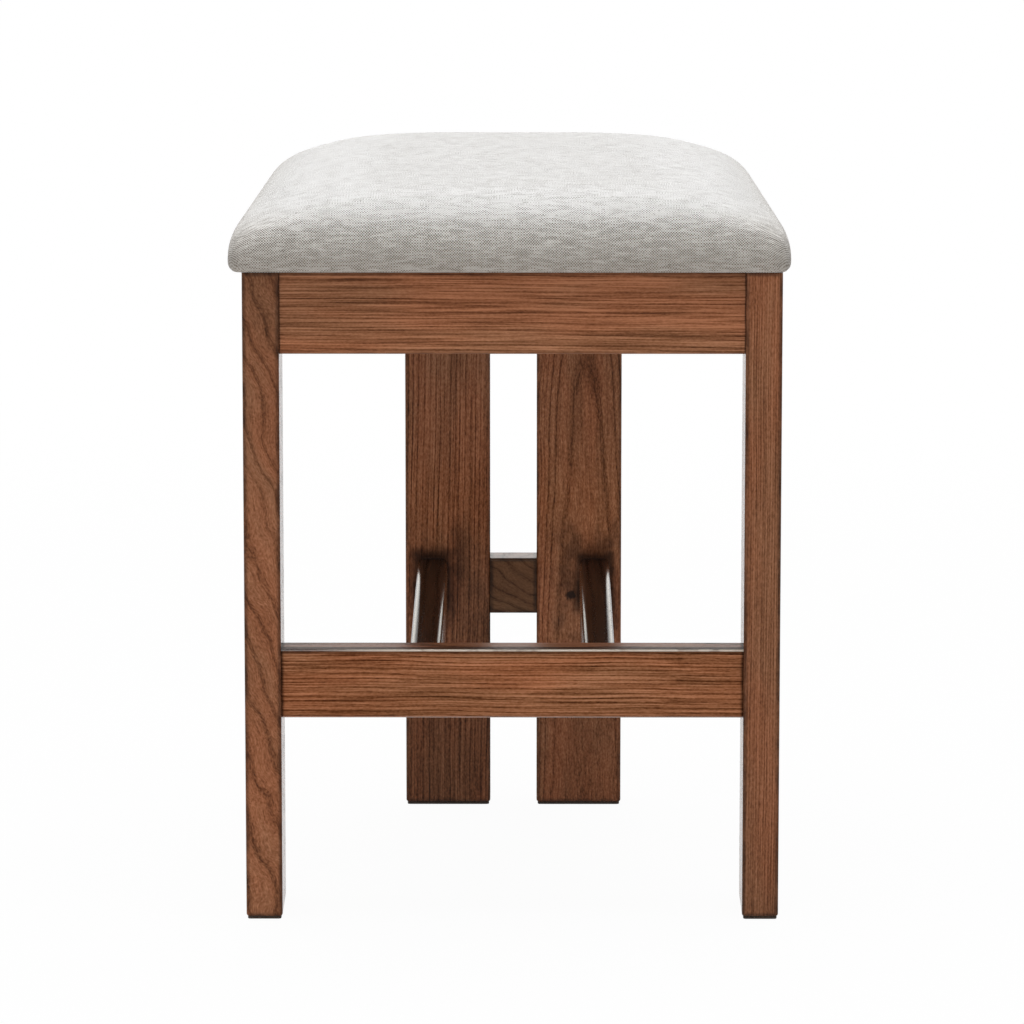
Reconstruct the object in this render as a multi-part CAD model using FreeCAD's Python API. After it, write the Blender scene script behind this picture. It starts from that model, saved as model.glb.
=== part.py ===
import FreeCAD, Part
import math
import os
from FreeCAD import Vector

# Counter stool: an upholstered seat pad bolted to a hardwood frame of two front posts,
# a pair of rear posts, aprons, a foot rail and two long stretchers.
# Millimetres, +Z up, front towards -Y, origin on the floor under the middle of the stool.

# Overall sizes
seat_height = 648.0         # top of the crowned cushion
base_width = 470.0          # across the outer faces of the front legs
base_depth = 476.0          # front of the front legs to the back of the rear legs
frame_top = 577.0           # top of the legs and aprons

# Legs and feet
leg_thick = 32.0
leg_wide = 80.0
rear_leg_gap = 44.0         # between the two rear legs
arris = 2.5                 # rounding on the exposed timber edges
pad_thick = 2.4             # felt under each leg
pad_inset = 1.2
pad_corner = 2.0

# Aprons, foot rail and stretchers
apron_height = 72.0
apron_thick = 24.0
apron_setback = 4.5         # behind the legs' outer faces
rail_low, rail_high = 181.0, 242.5
rail_deep = 32.0
rail_setback = 5.0
stretcher_low, stretcher_high = 186.0, 239.0
stretcher_wide = 28.0
stretcher_centre = 76.5     # from the middle of the stool
stretcher_arris = 6.0       # softer edges on the stretchers

# Joinery
glue_gap = 0.15
joint_lap = 4.0             # how far a tenon's block runs back into its rail
tenon_long = 16.0
tenon_thick = 12.0
apron_tenon_inset = 12.0    # from the apron's top and bottom edges
rail_tenon_inset = 9.0
stretcher_dowel = (10.0, 40.0)      # diameter, length
spacer_dowel = (8.0, 30.0)
stretcher_dowel_inset = 14.0        # from the stretcher's top and bottom
apron_dowel_inset = 17.0
spline_thick, spline_long, spline_inset = 4.0, 20.0, 8.0
rear_corner_round = 20.0    # outer corner of the frame, under the seat's rounder one

# Corner blocks and their fasteners
block_leg = 45.0            # along each of the two faces that a block is glued to
block_end = 8.0             # square end of the block
block_high = 40.0
screw_along, screw_grip = 30.0, 12.0
screw_thick, screw_long = 4.0, 28.0
screw_head, screw_head_high = 8.0, 2.6
screw_pocket = 9.0
driver_long, driver_slot, driver_deep = 4.8, 0.9, 1.2
bolt_along = 18.0           # bolt's distance from both faces of the corner
bolt_thick, bolt_hole = 6.0, 7.0
bolt_head_flats, bolt_head_high = 10.0, 4.0
washer_wide, washer_hole, washer_thick = 16.0, 6.4, 1.6
t_nut_wide, t_nut_flange = 18.0, 1.5
t_nut_barrel, t_nut_long = 8.0, 10.0
fit_gap = 0.1

# Seat pad
seat_front_width = 492.0
seat_back_width = 442.0
seat_depth = 500.0
seat_front_corner = 12.0
seat_back_corner = 45.0
sharpest_corner = 1.0       # least corner radius of a layer inside the cushion
widest_line = 583.0         # height where the cushion is broadest
edge_roll = 6.0             # how far the cloth rolls in under that line
roll_steps = 3
crown_power = 3.6           # how square the crown is in height,
side_power = 3.2            # across
front_power = 8.5           # and from front to back, where the sides are steepest
crown_steps = 14
crown_reach = 0.945         # share of the way up at which the crown ends in a small flat
crown_corner = 0.40         # corner radius of the crown's top, as a share of its half width
corner_growth = 2.2         # above 1, the corners round off mostly near the top
loft_degree = 3
dust_thick, dust_inset = 0.8, 14.0
cover_thick, cover_tuck, tuck_corner = 1.2, 46.0, 6.0
wadding_thick = 6.0
board_thick, board_inset = 15.0, 14.0
staple_crown, staple_leg, staple_wire, staple_deep = 10.0, 8.0, 0.7, 1.2
cover_staple_inset, cover_staple_pitch = 22.0, 36.0
dust_staple_inset, dust_staple_pitch = 43.0, 62.0

# Places that follow from the sizes above
half_width = base_width / 2
front_face = -base_depth / 2
back_face = base_depth / 2
leg_inner = half_width - leg_thick
front_leg_back = front_face + leg_wide
rear_leg_front = back_face - leg_thick
rear_leg_inner = rear_leg_gap / 2
rear_leg_outer = rear_leg_inner + leg_wide
apron_low = frame_top - apron_height
front_apron_y = (front_face + apron_setback, front_face + apron_setback + apron_thick)
rear_apron_y = (back_face - apron_setback - apron_thick, back_face - apron_setback)
rail_y = (front_face + rail_setback, front_face + rail_setback + rail_deep)
seat_taper = (seat_front_width - seat_back_width) / 2 / seat_depth
dust_low = frame_top
cover_low = dust_low + dust_thick
board_low = cover_low + cover_thick
board_high = board_low + board_thick
block_low = frame_top - block_high
nearly_parallel = 0.99      # cosine between an edge and the way it should run
across = Vector(1, 0, 0)
along = Vector(0, 1, 0)
up = Vector(0, 0, 1)


def block(x, y, z, grow=0.0):
    """A square block between three pairs of limits, grown all round to make a socket for itself."""
    low = Vector(x[0] - grow, y[0] - grow, z[0] - grow)
    size = [limits[1] - limits[0] + 2 * grow for limits in (x, y, z)]
    return Part.makeBox(*size, low)


def rounded_outline(points, radii, z):
    """A closed wire of lines and corner arcs at one height."""
    corners = [Vector(x, y, z) for x, y in points]
    arcs = []
    for place, (corner, radius) in enumerate(zip(corners, radii)):
        towards = [(corners[place - 1] - corner).normalize()]
        towards.append((corners[(place + 1) % len(corners)] - corner).normalize())
        half_angle = towards[0].getAngle(towards[1]) / 2
        bisector = (towards[0] + towards[1]).normalize()
        reach = radius / math.tan(half_angle)
        middle = corner + bisector * (radius / math.sin(half_angle) - radius)
        arcs.append((corner + towards[0] * reach, middle, corner + towards[1] * reach))
    edges = []
    for place, (start, middle, end) in enumerate(arcs):
        edges.append(Part.Arc(start, middle, end).toShape())
        edges.append(Part.LineSegment(end, arcs[(place + 1) % len(arcs)][0]).toShape())
    return Part.Wire(edges)


def slab(outline, thick):
    """A flat sheet on top of a closed wire."""
    return Part.Face(outline).extrude(up * thick)


def polygon_slab(points, z_low, z_high):
    """A straight-sided board with any plan."""
    corners = [Vector(x, y, z_low) for x, y in points]
    return slab(Part.makePolygon(corners + corners[:1]), z_high - z_low)


def rod(start, axis, length, diameter):
    return Part.makeCylinder(diameter / 2, length, start, axis)


def other_side(shape):
    """The same piece on the left of the stool."""
    return shape.mirror(Vector(0, 0, 0), across)


def ease(shape, radius, wanted):
    """Round the straight edges that a test picks from their middle and direction."""
    picked = []
    for edge in shape.Edges:
        ends = [vertex.Point for vertex in edge.Vertexes]
        if wanted(edge.CenterOfMass, (ends[1] - ends[0]).normalize()):
            picked.append(edge)
    return shape.makeFillet(radius, picked)


def runs_along(direction, axis):
    return abs(direction.dot(axis)) > nearly_parallel


def ease_below(rail, axis):
    """Round the two long lower edges of an apron."""
    return ease(rail, arris, lambda middle, way: middle.z < apron_low + arris and runs_along(way, axis))


def centred(limits, size):
    """Limits of a given size in the middle of wider ones."""
    middle = sum(limits) / 2
    return (middle - size / 2, middle + size / 2)


# Stub tenons on the right side, as limits that serve the tenon and its mortise
apron_tenon_z = (apron_low + apron_tenon_inset, frame_top - apron_tenon_inset)
front_apron_tenon = ((leg_inner - joint_lap, leg_inner + tenon_long),
                     centred(front_apron_y, tenon_thick), apron_tenon_z)
foot_rail_tenon = ((leg_inner - joint_lap, leg_inner + tenon_long),
                   centred(rail_y, tenon_thick),
                   (rail_low + rail_tenon_inset, rail_high - rail_tenon_inset))
side_apron_tenon = (centred((leg_inner, half_width), tenon_thick),
                    (front_leg_back - tenon_long, front_leg_back + joint_lap), apron_tenon_z)
rear_apron_tenon = ((rear_leg_outer - tenon_long, rear_leg_outer + joint_lap),
                    centred(rear_apron_y, tenon_thick), apron_tenon_z)

# Plan of the tapered side apron and of the rear apron that it meets in a mitre
side_outer_front = half_width - apron_setback


def side_apron_x(y, depth_in=0.0):
    """How far out the side apron's face is at one depth, or a face inside it."""
    return side_outer_front - seat_taper * (y - front_leg_back) - depth_in * math.hypot(1, seat_taper)


side_inward = Vector(seat_taper, -1, 0).normalize()
mitre_outer = (side_apron_x(rear_apron_y[1]), rear_apron_y[1])
mitre_inner = (side_apron_x(rear_apron_y[0], apron_thick), rear_apron_y[0])


def stretcher_dowels(gap=0.0):
    """Two dowels at each end of both stretchers."""
    diameter, length = stretcher_dowel
    pins = []
    for x in (-stretcher_centre, stretcher_centre):
        for joint_y in (rail_y[1], rear_leg_front):
            for z in (stretcher_low + stretcher_dowel_inset, stretcher_high - stretcher_dowel_inset):
                start = Vector(x, joint_y - length / 2 - gap, z)
                pins.append(rod(start, along, length + 2 * gap, diameter + 2 * gap))
    return pins


def cross_dowels(heights, middle_y, gap=0.0):
    """Two dowels at each end of a piece that sits between the rear legs."""
    diameter, length = spacer_dowel
    pins = []
    for joint_x in (-rear_leg_inner, rear_leg_inner):
        for z in heights:
            start = Vector(joint_x - length / 2 - gap, middle_y, z)
            pins.append(rod(start, across, length + 2 * gap, diameter + 2 * gap))
    return pins


def spacer_dowels(gap=0.0):
    heights = (stretcher_low + stretcher_dowel_inset, stretcher_high - stretcher_dowel_inset)
    return cross_dowels(heights, (rear_leg_front + back_face) / 2, gap)


def rear_apron_dowels(gap=0.0):
    heights = (apron_low + apron_dowel_inset, frame_top - apron_dowel_inset)
    return cross_dowels(heights, sum(rear_apron_y) / 2, gap)


def corner_spline(gap=0.0):
    """Loose tongue across the mitre at the right rear corner."""
    mitre = Vector(*mitre_outer, 0) - Vector(*mitre_inner, 0)
    thick_way = mitre.normalize() * (spline_thick / 2 + gap)
    long_way = Vector(thick_way.y, -thick_way.x, 0).normalize() * (spline_long / 2 + gap)
    middle = (Vector(*mitre_outer, 0) + Vector(*mitre_inner, 0)) / 2
    signs = ((-1, -1), (1, -1), (1, 1), (-1, 1))
    corners = [middle + thick_way * a + long_way * b for a, b in signs]
    points = [(corner.x, corner.y) for corner in corners]
    return polygon_slab(points, apron_low + spline_inset - gap, frame_top - spline_inset + gap)


def corner_waste():
    """What is planed off the frame's right rear corner to round it."""
    corner = Vector(*mitre_outer, 0)
    reach = rear_corner_round / math.tan((math.pi / 2 + math.atan(seat_taper)) / 2)
    on_rear = corner - across * reach
    on_side = corner + side_inward * reach
    centre = on_rear - along * rear_corner_round
    plan = [(point.x, point.y) for point in (corner, on_rear, centre, on_side)]
    wedge = polygon_slab(plan, apron_low, frame_top)
    return wedge.cut(rod(centre + up * apron_low, up, apron_height, 2 * rear_corner_round))


# Right-hand corners that hold a block: inner corner, the two face directions, outward directions
front_corner = dict(corner=Vector(leg_inner, front_apron_y[1], 0),
                    faces=(-across, along), into=(-along, across))
rear_corner = dict(corner=Vector(*mitre_inner, 0),
                   faces=(-across, side_inward), into=(along, Vector(-side_inward.y, side_inward.x, 0)))


def corner_place(spot, first, second, z):
    """A point inside a corner, measured along its two faces."""
    return spot["corner"] + spot["faces"][0] * first + spot["faces"][1] * second + up * z


def corner_screws(spot, gap=0.0):
    """One screw from the block into each of the corner's two faces."""
    screws = []
    z = frame_top - block_high / 2
    for into, offset in zip(spot["into"], ((screw_along, 0), (0, screw_along))):
        seat = corner_place(spot, *offset, z) - into * screw_grip
        screw = rod(seat, into, screw_long + gap, screw_thick + 2 * gap)
        if gap:
            screw = screw.fuse(rod(seat, -into, block_leg, screw_pocket))
        else:
            screw = screw.fuse(screw_head_at(seat, -into))
        screws.append(screw)
    return screws


def screw_head_at(seat, outward):
    """Round head with a cross recess for the driver."""
    head = rod(seat, outward, screw_head_high, screw_head)
    bottom = screw_head_high - driver_deep
    arms = []
    for wide, deep in ((driver_long, driver_slot), (driver_slot, driver_long)):
        arm = Part.makeBox(wide, deep, driver_deep, Vector(-wide / 2, -deep / 2, bottom))
        arm.Placement = FreeCAD.Placement(seat, FreeCAD.Rotation(up, outward)) * arm.Placement
        arms.append(arm)
    return head.cut(arms)


def corner_block(spot):
    """Triangular glue block with square ends, bored for two screws and the seat bolt."""
    plan = ((0, 0), (block_leg, 0), (block_leg, block_end), (block_end, block_leg), (0, block_leg))
    points = [corner_place(spot, first, second, 0) for first, second in plan]
    blank = polygon_slab([(point.x, point.y) for point in points], block_low, frame_top)
    bore = rod(corner_place(spot, bolt_along, bolt_along, block_low), up, block_high, bolt_hole)
    return blank.cut(corner_screws(spot, fit_gap) + [bore])


def front_leg():
    blank = block((leg_inner, half_width), (front_face, front_leg_back), (pad_thick, frame_top))
    leg = ease(blank, arris, lambda middle, way: middle.z < frame_top)
    tenons = (front_apron_tenon, foot_rail_tenon, side_apron_tenon)
    mortises = [block(*tenon, grow=glue_gap) for tenon in tenons]
    return leg.cut(mortises + corner_screws(front_corner, fit_gap)[1:])


def rear_leg():
    blank = block((rear_leg_inner, rear_leg_outer), (rear_leg_front, back_face), (pad_thick, frame_top))
    leg = ease(blank, arris, lambda middle, way: middle.z < frame_top)
    holes = stretcher_dowels(fit_gap) + spacer_dowels(fit_gap) + rear_apron_dowels(fit_gap)
    return leg.cut(holes + [block(*rear_apron_tenon, grow=glue_gap)])


def foot_pad(x, y):
    """Felt pad a little smaller than the leg above it."""
    x_low, x_high = x[0] + pad_inset, x[1] - pad_inset
    y_low, y_high = y[0] + pad_inset, y[1] - pad_inset
    points = ((x_low, y_low), (x_high, y_low), (x_high, y_high), (x_low, y_high))
    return slab(rounded_outline(points, (pad_corner,) * 4, 0), pad_thick)


def front_apron():
    rail = block((-leg_inner, leg_inner), front_apron_y, (apron_low, frame_top))
    rail = ease_below(rail, across)
    tenon = block(*front_apron_tenon)
    rail = rail.fuse([tenon, other_side(tenon)])
    screw = corner_screws(front_corner, fit_gap)[0]
    return rail.cut([screw, other_side(screw)])


def side_apron():
    points = ((side_apron_x(front_leg_back), front_leg_back), mitre_outer, mitre_inner,
              (side_apron_x(front_leg_back, apron_thick), front_leg_back))
    rail = polygon_slab(points, apron_low, frame_top)
    rail = ease_below(rail, side_inward)
    rail = rail.fuse(block(*side_apron_tenon))
    return rail.cut([corner_spline(glue_gap), corner_waste(), corner_screws(rear_corner, fit_gap)[1]])


def rear_apron():
    points = (mitre_outer, (rear_leg_outer, rear_apron_y[1]), (rear_leg_outer, rear_apron_y[0]), mitre_inner)
    rail = polygon_slab(points, apron_low, frame_top)
    rail = ease_below(rail, across)
    rail = rail.fuse(block(*rear_apron_tenon))
    return rail.cut([corner_spline(glue_gap), corner_waste(), corner_screws(rear_corner, fit_gap)[0]])


def rear_apron_centre():
    rail = block((-rear_leg_inner, rear_leg_inner), rear_apron_y, (apron_low, frame_top))
    rail = ease_below(rail, across)
    return rail.cut(rear_apron_dowels(fit_gap))


def foot_rail():
    rail = block((-leg_inner, leg_inner), rail_y, (rail_low, rail_high))
    rail = ease(rail, arris, lambda middle, way: runs_along(way, across))
    tenon = block(*foot_rail_tenon)
    return rail.fuse([tenon, other_side(tenon)]).cut(stretcher_dowels(fit_gap))


def stretcher():
    x = (stretcher_centre - stretcher_wide / 2, stretcher_centre + stretcher_wide / 2)
    bar = block(x, (rail_y[1], rear_leg_front), (stretcher_low, stretcher_high))
    bar = ease(bar, stretcher_arris, lambda middle, way: runs_along(way, along))
    return bar.cut(stretcher_dowels(fit_gap))


def rear_spacer():
    piece = block((-rear_leg_inner, rear_leg_inner), (rear_leg_front, back_face),
                  (stretcher_low, stretcher_high))
    return ease(piece, arris, lambda middle, way: runs_along(way, across)).cut(spacer_dowels(fit_gap))


# Right-hand seat bolts are at these points, and their mirror images
bolt_points = [corner_place(spot, bolt_along, bolt_along, 0) for spot in (front_corner, rear_corner)]
bolt_points += [Vector(-point.x, point.y, 0) for point in bolt_points]


def at_bolts(z_low, z_high, diameter):
    """Upright rods through all four bolt places."""
    return [rod(point + up * z_low, up, z_high - z_low, diameter) for point in bolt_points]


def seat_bolts():
    washer_low = block_low - washer_thick
    bolts = []
    for point, shank in zip(bolt_points, at_bolts(washer_low, board_high, bolt_thick)):
        radius = bolt_head_flats / 2 / math.cos(math.pi / 6)
        turns = [math.radians(60 * corner) for corner in range(6)]
        points = [(point.x + radius * math.cos(turn), point.y + radius * math.sin(turn)) for turn in turns]
        bolts.append(shank.fuse(polygon_slab(points, washer_low - bolt_head_high, washer_low)))
    return bolts


def seat_washers():
    low = block_low - washer_thick
    discs = at_bolts(low, block_low, washer_wide)
    holes = at_bolts(low, block_low, washer_hole)
    return [disc.cut(hole) for disc, hole in zip(discs, holes)]


def seat_t_nuts():
    flanges = at_bolts(board_high, board_high + t_nut_flange, t_nut_wide)
    barrels = at_bolts(board_high - t_nut_long, board_high, t_nut_barrel)
    bores = at_bolts(board_high - t_nut_long, board_high + t_nut_flange, bolt_thick + 2 * fit_gap)
    return [flange.fuse(barrel).cut(bore) for flange, barrel, bore in zip(flanges, barrels, bores)]


def seat_corners(inset):
    """Corners of the seat's plan, drawn in by an inset."""
    front = seat_front_width / 2 - inset
    back = seat_back_width / 2 - inset
    deep = seat_depth / 2 - inset
    return ((-front, -deep), (front, -deep), (back, deep), (-back, deep))


def seat_outline(inset, z, rise=0.0):
    """The seat's plan at one height; a risen section shrinks, and its corners grow rounder."""
    left = 1 - rise ** crown_power
    narrow, short = left ** (1 / side_power), left ** (1 / front_power)
    half_back = seat_back_width / 2 - inset
    radii = []
    for corner in (seat_front_corner, seat_back_corner):
        share = max(corner - inset, sharpest_corner) / half_back
        radii.append(half_back * narrow * (share + (crown_corner - share) * rise ** corner_growth))
    points = [(x * narrow, y * short) for x, y in seat_corners(inset)]
    return rounded_outline(points, (radii[0], radii[0], radii[1], radii[1]), z)


def crowned_form(inset, low, roll):
    """The cushion's form drawn in by an inset: a rolled lower edge and a crown like a superellipse."""
    sections = []
    for step in range(roll_steps):
        turn = math.pi / 2 * (1 - step / roll_steps)
        tuck = roll * (1 - math.cos(turn))
        sections.append(seat_outline(inset + tuck, widest_line - (widest_line - low) * math.sin(turn)))
    last = math.pi / 2 * crown_reach
    crown_high = (seat_height - inset - widest_line) / math.sin(last)
    for step in range(crown_steps + 1):
        rise = math.sin(last * step / crown_steps)
        sections.append(seat_outline(inset, widest_line + crown_high * rise, rise))
    return Part.makeLoft(sections, True, False, False, loft_degree)


def staples(inset, pitch, z):
    """Staples along the four sides of the seat, driven upwards from one height."""
    outer, inner = staple_crown / 2, staple_crown / 2 - staple_wire
    profile = ((-outer, 0), (outer, 0), (outer, staple_leg), (inner, staple_leg), (inner, staple_wire),
               (-inner, staple_wire), (-inner, staple_leg), (-outer, staple_leg))
    corners = [Vector(x, -staple_deep / 2, height) for x, height in profile]
    pattern = Part.Face(Part.makePolygon(corners + corners[:1])).extrude(along * staple_deep)
    driven = []
    plan = [Vector(x, y, z) for x, y in seat_corners(inset)]
    for start, end in zip(plan, plan[1:] + plan[:1]):
        way = end - start
        count = int(way.Length // pitch)
        for number in range(count):
            staple = pattern.copy()
            place = start + way * ((number + 0.5) / count)
            staple.Placement = FreeCAD.Placement(place, FreeCAD.Rotation(across, way))
            driven.append(staple)
    return driven


def cover_staples():
    return staples(cover_staple_inset, cover_staple_pitch, cover_low)


def dust_cover_staples():
    return staples(dust_staple_inset, dust_staple_pitch, dust_low)


def dust_cover():
    sheet = slab(seat_outline(dust_inset, dust_low), dust_thick)
    return sheet.cut(dust_cover_staples() + at_bolts(dust_low, cover_low, bolt_hole))


def board_blank():
    return slab(seat_outline(board_inset, board_low), board_thick)


def seat_board():
    holes = at_bolts(board_low, board_high, t_nut_barrel + 2 * fit_gap)
    return board_blank().cut(holes + cover_staples() + dust_cover_staples())


def foam_blank():
    """The cushion's form inside the cloth and wadding, cut flat on top of the board."""
    form = crowned_form(cover_thick + wadding_thick, board_low, edge_roll - cover_thick)
    half_front = seat_front_width / 2
    half_deep = seat_depth / 2
    below = block((-half_front, half_front), (-half_deep, half_deep), (frame_top, board_high))
    return form.cut(below)


def seat_foam():
    pockets = at_bolts(board_high, board_high + t_nut_flange + fit_gap, t_nut_wide + 2 * fit_gap)
    return foam_blank().cut(pockets)


def cover_cavity():
    return crowned_form(cover_thick, board_low, edge_roll - cover_thick)


def seat_wadding():
    return cover_cavity().cut(board_blank()).cut(foam_blank())


def seat_cover():
    """Cloth over the crown, rolled in under the board and left open behind the dust cover."""
    outside = crowned_form(0, cover_low, edge_roll)
    opening = slab(rounded_outline(seat_corners(cover_tuck), (tuck_corner,) * 4, cover_low), cover_thick)
    return outside.cut([cover_cavity(), opening] + cover_staples() + dust_cover_staples())


def both_sides(name, shape):
    """A right-hand piece and its mirror image, under the names of their sides."""
    return {name + "_right": shape, name + "_left": other_side(shape)}


def grouped(solids):
    return Part.makeCompound(solids)


def mirrored_pair(solids):
    return grouped(solids + [other_side(solid) for solid in solids])


def all_pieces():
    front_leg_plan = ((leg_inner, half_width), (front_face, front_leg_back))
    rear_leg_plan = ((rear_leg_inner, rear_leg_outer), (rear_leg_front, back_face))
    pieces = {
        "front_apron": front_apron(),
        "rear_apron_centre": rear_apron_centre(),
        "foot_rail": foot_rail(),
        "rear_spacer": rear_spacer(),
        "stretcher_dowels": grouped(stretcher_dowels()),
        "spacer_dowels": grouped(spacer_dowels()),
        "rear_apron_dowels": grouped(rear_apron_dowels()),
        "corner_splines": mirrored_pair([corner_spline()]),
        "corner_block_screws": mirrored_pair(corner_screws(front_corner) + corner_screws(rear_corner)),
        "seat_bolts": grouped(seat_bolts()),
        "seat_washers": grouped(seat_washers()),
        "seat_t_nuts": grouped(seat_t_nuts()),
        "seat_board": seat_board(),
        "seat_foam": seat_foam(),
        "seat_wadding": seat_wadding(),
        "seat_cover": seat_cover(),
        "cover_staples": grouped(cover_staples()),
        "dust_cover": dust_cover(),
        "dust_cover_staples": grouped(dust_cover_staples()),
    }
    pieces.update(both_sides("front_leg", front_leg()))
    pieces.update(both_sides("rear_leg", rear_leg()))
    pieces.update(both_sides("front_foot_pad", foot_pad(*front_leg_plan)))
    pieces.update(both_sides("rear_foot_pad", foot_pad(*rear_leg_plan)))
    pieces.update(both_sides("side_apron", side_apron()))
    pieces.update(both_sides("rear_apron", rear_apron()))
    pieces.update(both_sides("stretcher", stretcher()))
    pieces.update(both_sides("front_corner_block", corner_block(front_corner)))
    pieces.update(both_sides("rear_corner_block", corner_block(rear_corner)))
    return pieces


os.makedirs("parts", exist_ok=True)
for node, shape in all_pieces().items():
    shape.exportStep("parts/" + node + ".step")
    state = "valid" if shape.isValid() else "not valid"
    print(node, len(shape.Solids), "solids", round(shape.Volume), "mm3", state)
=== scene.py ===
import math

import bpy
import numpy as np
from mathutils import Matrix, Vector


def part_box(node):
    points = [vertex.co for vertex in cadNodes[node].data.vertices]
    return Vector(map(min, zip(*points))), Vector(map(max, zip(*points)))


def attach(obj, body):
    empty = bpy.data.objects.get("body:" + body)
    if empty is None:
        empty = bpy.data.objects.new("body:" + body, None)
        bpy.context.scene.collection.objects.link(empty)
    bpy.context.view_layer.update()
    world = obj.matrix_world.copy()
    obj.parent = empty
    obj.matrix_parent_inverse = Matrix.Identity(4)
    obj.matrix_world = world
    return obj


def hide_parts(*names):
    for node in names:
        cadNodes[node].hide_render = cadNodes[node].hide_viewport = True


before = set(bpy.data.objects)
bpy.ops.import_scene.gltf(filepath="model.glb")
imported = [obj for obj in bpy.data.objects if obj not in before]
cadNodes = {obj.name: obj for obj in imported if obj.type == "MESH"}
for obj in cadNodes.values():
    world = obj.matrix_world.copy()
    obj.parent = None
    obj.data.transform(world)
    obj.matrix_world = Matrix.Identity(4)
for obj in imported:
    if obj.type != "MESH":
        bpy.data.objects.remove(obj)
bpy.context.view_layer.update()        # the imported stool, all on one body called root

scene = bpy.context.scene


# small helpers for objects

def pickNone():
    if bpy.context.mode != "OBJECT":
        bpy.ops.object.mode_set(mode="OBJECT")
    bpy.ops.object.select_all(action="DESELECT")


def pick(piece):
    pickNone()
    piece.select_set(True)
    bpy.context.view_layer.objects.active = piece


def applyModifiers(piece):
    pick(piece)
    for name in [modifier.name for modifier in piece.modifiers]:
        bpy.ops.object.modifier_apply(modifier=name)


def bakePlace(piece):  # the piece's place goes into its mesh
    pick(piece)
    bpy.ops.object.transform_apply(location=True, rotation=True, scale=True)


def cornersOf(piece):
    spots = np.zeros(len(piece.data.vertices) * 3)
    piece.data.vertices.foreach_get("co", spots)
    return spots.reshape(-1, 3)


def setCorners(piece, spots):
    piece.data.vertices.foreach_set("co", spots.ravel())
    piece.data.update()


# small helpers for materials

def tint(red, green, blue):  # as a picture shows it, 0 to 255, made linear
    levels = []
    for level in (red / 255, green / 255, blue / 255):
        levels.append(level / 12.92 if level <= 0.04045 else ((level + 0.055) / 1.055) ** 2.4)
    return (*levels, 1.0)


def newMaterial(name):
    mat = bpy.data.materials.new(name)
    mat.use_nodes = True
    mat.node_tree.nodes.clear()
    return mat


def addNode(mat, kind, feeds=None, **settings):
    made = mat.node_tree.nodes.new("ShaderNode" + kind)
    for key, value in settings.items():
        setattr(made, key, value)
    for key, value in (feeds or {}).items():
        if isinstance(value, bpy.types.NodeSocket):
            mat.node_tree.links.new(value, made.inputs[key])
        else:
            made.inputs[key].default_value = value
    return made


def calc(mat, operation, first, second=0.0):
    return addNode(mat, "Math", {0: first, 1: second}, operation=operation).outputs[0]


def vectorCalc(mat, operation, first, second=(0.0, 0.0, 0.0)):
    return addNode(mat, "VectorMath", {0: first, 1: second}, operation=operation).outputs[0]


def lengthOf(mat, vector):
    return addNode(mat, "VectorMath", {0: vector}, operation="LENGTH").outputs["Value"]


def fade(mat, value, start, end, low=0.0, high=1.0):  # low at start, high at end
    return addNode(mat, "MapRange", {"Value": value, "From Min": start, "From Max": end, "To Min": low,
                                     "To Max": high}, interpolation_type="SMOOTHSTEP").outputs[0]


def noise(mat, vector, stretch, detail=2.0, rough=0.5):
    spread = vectorCalc(mat, "MULTIPLY", vector, stretch)
    return addNode(mat, "TexNoise", {"Vector": spread, "Scale": 1.0, "Detail": detail, "Roughness": rough})


def weighed(mat, total, parts):  # adds up each share's distance from its middle, times its weight
    for share, middle, weight in parts:
        total = calc(mat, "ADD", calc(mat, "MULTIPLY", calc(mat, "SUBTRACT", share, middle), weight), total)
    return total


def ramp(mat, value, stops):
    made = addNode(mat, "ValToRGB", {"Fac": value})
    band = made.color_ramp
    band.elements[0].position, band.elements[0].color = stops[0]
    band.elements[1].position, band.elements[1].color = stops[-1]
    for place, colour in stops[1:-1]:
        band.elements.new(place).color = colour
    return made.outputs["Color"]


def grey(level):
    return (level, level, level, 1.0)


def mixColour(mat, share, first, second, blend="MIX"):
    return addNode(mat, "Mix", {0: share, 6: first, 7: second}, data_type="RGBA", blend_type=blend).outputs[2]


def finishMaterial(mat, settings, height=None, depth=0.0003, strength=0.5):
    shader = addNode(mat, "BsdfPrincipled", settings)
    if height is not None:
        bump = addNode(mat, "Bump", {"Height": height, "Distance": depth, "Strength": strength})
        mat.node_tree.links.new(bump.outputs[0], shader.inputs["Normal"])
    addNode(mat, "OutputMaterial", {"Surface": shader.outputs[0]})
    return mat


def dress(node, mat):
    for slot in cadNodes[node].material_slots:
        slot.material = mat


# camera at the photograph's place: a long lens, a little above the seat

photoCamera = {"spot": (0.01304, -5.6348, 1.3702), "tilt": 79.462, "turn": 0.141, "lens": 220.94}
cameraTurn = (math.radians(photoCamera["tilt"]), 0.0, math.radians(photoCamera["turn"]))
bpy.ops.object.camera_add(location=photoCamera["spot"], rotation=cameraTurn)
camera = bpy.context.object
camera.name = "photoCamera"
camera.data.lens = photoCamera["lens"]
camera.data.sensor_width = 36.0
camera.data.clip_end = 60.0
scene.camera = camera
scene.view_settings.view_transform = "Standard"


# studio: white floor and surround, soft lamps

studio = {"floorSize": 60.0, "floorGrey": 0.82, "nearGlow": 0.965, "farGlow": 1.0, "nearReach": 0.7,
          "farReach": 2.6, "roomLight": 0.22}


def seenDirectly(mat):  # 1 for what the camera sees, straight or in a reflection
    rays = addNode(mat, "LightPath").outputs
    straight = calc(mat, "MAXIMUM", rays["Is Camera Ray"], rays["Is Glossy Ray"])
    return calc(mat, "MAXIMUM", straight, rays["Is Transmission Ray"])


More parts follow.
